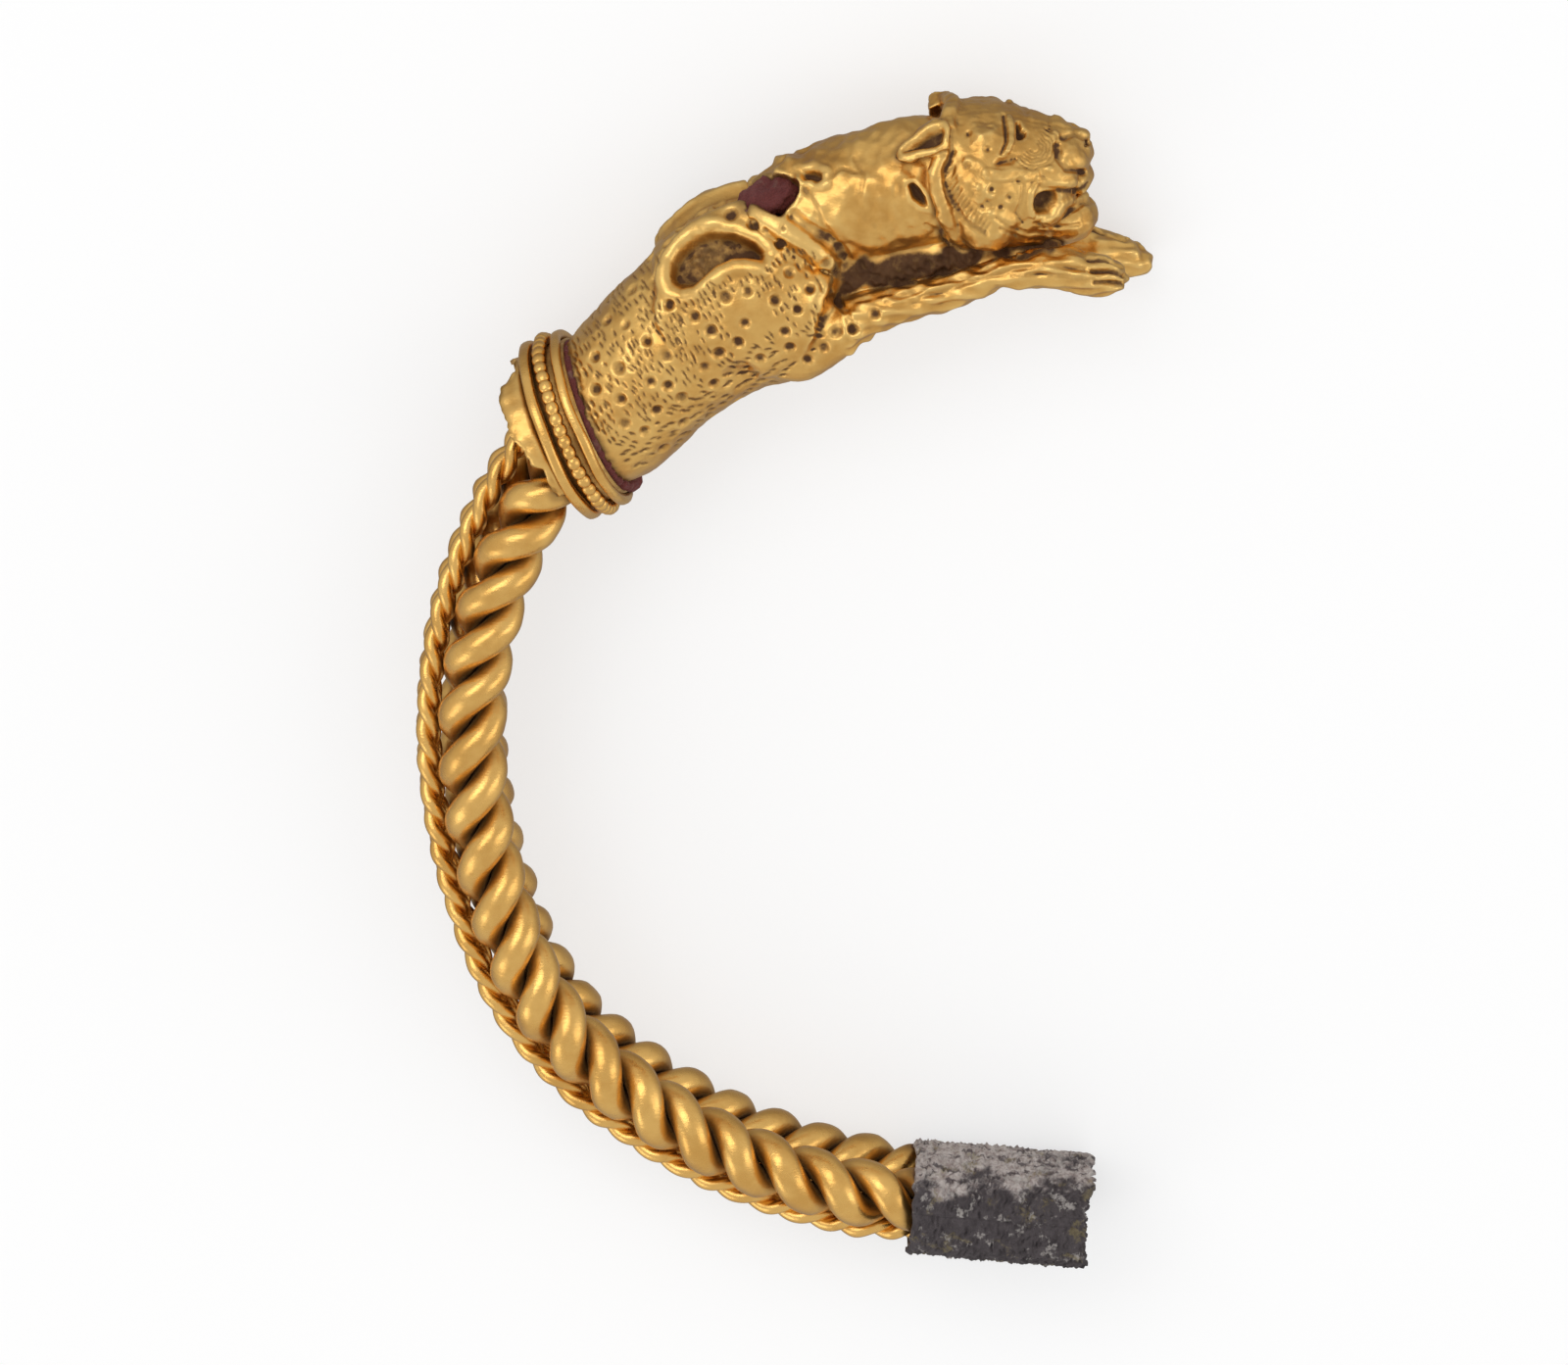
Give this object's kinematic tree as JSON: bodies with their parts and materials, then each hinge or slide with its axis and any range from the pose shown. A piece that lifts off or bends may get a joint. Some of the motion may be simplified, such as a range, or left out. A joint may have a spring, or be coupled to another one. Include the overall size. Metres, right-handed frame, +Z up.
{
  "type": "animal-headed bracelet half",
  "caption": "Half of an open twisted-wire bracelet, ending in the forepart of a crouching spotted feline, with a wired collar and a rolled silver sleeve.",
  "frame": {"origin": "on the surface the bracelet half lies on, under the middle of its box", "axes": "+Z up, +Y from the sleeve towards the animal's head, +X from the hoop's back towards its open side"},
  "size_m": [0.0428, 0.0726, 0.0112],
  "materials": {
    "sheet_gold": "polished high-carat sheet gold, brown dirt in the hollows",
    "wire_gold": "polished gold wire, brown dirt between the turns",
    "tarnished_silver": "charcoal tarnish with patches of bare silver",
    "red_filling": "dull dark red filling, rough"
  },
  "bodies": {
    "root": {"feline_forepart": "sheet_gold", "red_filling": "red_filling", "front_rope_wire_a": "wire_gold", "front_rope_wire_b": "wire_gold", "back_rope_wire_a": "wire_gold", "back_rope_wire_b": "wire_gold", "thin_rope_front": "wire_gold", "thin_rope_back": "wire_gold", "collar_tube": "sheet_gold", "collar_front_wire": "wire_gold", "collar_beaded_wire": "wire_gold", "collar_back_wire": "wire_gold", "collar_strip": "sheet_gold", "silver_sleeve": "tarnished_silver"}
  },
  "joints": []
}
